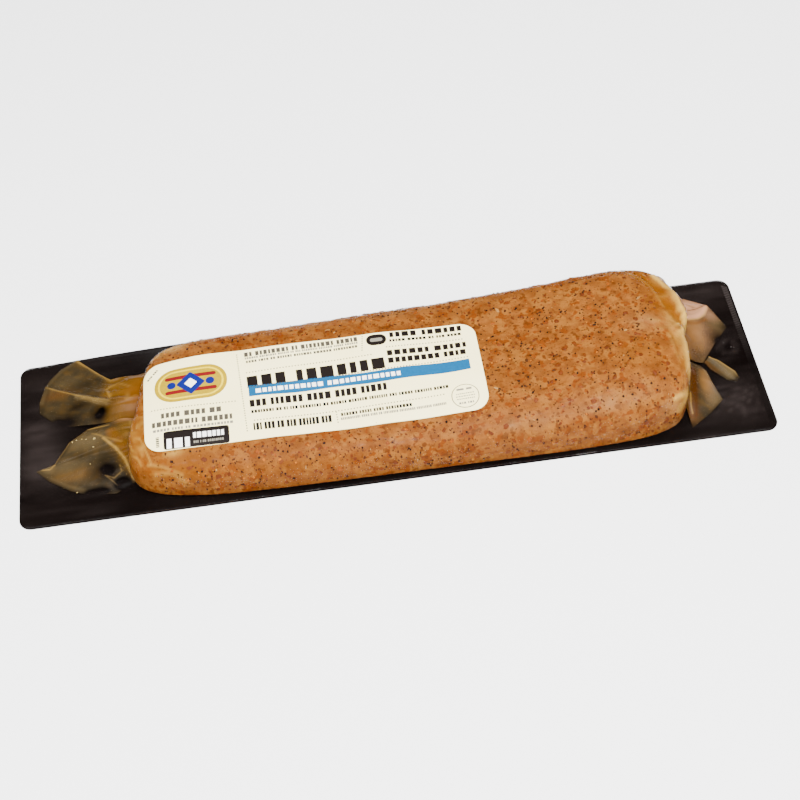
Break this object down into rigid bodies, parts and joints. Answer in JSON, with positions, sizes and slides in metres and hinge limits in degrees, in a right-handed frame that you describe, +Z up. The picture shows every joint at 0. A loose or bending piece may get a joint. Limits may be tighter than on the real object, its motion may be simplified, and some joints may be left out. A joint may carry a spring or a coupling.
{
  "type": "vacuum-packed seasoned pork loin fillet",
  "caption": "Long flat seasoned pork loin fillet under tight clear film on a dark backing board, with a paper label on top and folded film ears past both ends.",
  "frame": {"origin": "centre of the backing board's underside", "axes": "+X along the board, towards the fillet's thick end; +Y towards the board's far edge, which curls up a little; +Z up"},
  "size_m": [0.381, 0.1042, 0.0304],
  "materials": {
    "board": "brownish black, softly glossy",
    "meat": "light brown seasoned pork under clinging clear film, with pepper and chili flakes",
    "paper": "cream label paper with a printed pattern of bars and plain blocks, slightly glossy",
    "film": "clear film in many layers, amber where it is thick, with a wet sheen"
  },
  "bodies": {
    "root": {"backing_board": "board", "wrapped_fillet": "meat", "paper_label": "paper", "film_ear_left_near": "film", "film_ear_left_far": "film", "film_ear_right_far": "film", "film_ear_right_near": "film", "film_strip_right": "film"}
  },
  "joints": []
}
